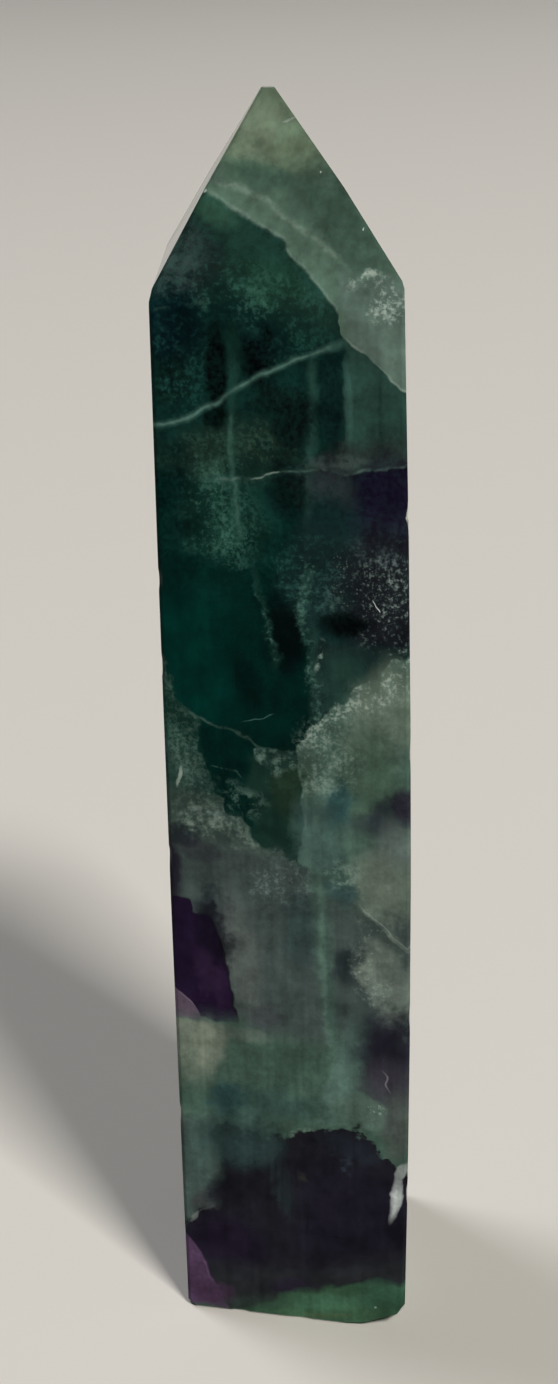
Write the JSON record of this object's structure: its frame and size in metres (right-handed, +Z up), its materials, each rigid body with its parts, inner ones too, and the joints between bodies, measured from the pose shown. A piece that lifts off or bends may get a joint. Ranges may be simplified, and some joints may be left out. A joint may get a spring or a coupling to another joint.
{
  "type": "fluorite obelisk",
  "caption": "Slender polished tower of banded green and purple fluorite with a pyramid point, standing on its flat cut base.",
  "frame": {"origin": "under the middle of the stone's box, on the flat base it stands on", "axes": "+Z up through the point, -Y out of the broad front side, +X to the right as seen from the front"},
  "size_m": [0.025, 0.0212, 0.11],
  "materials": {
    "fluorite": "hand-polished, dark teal, purple and milky green bands, see-through where it is thin"
  },
  "bodies": {
    "root": {"obelisk": "fluorite"}
  },
  "joints": []
}
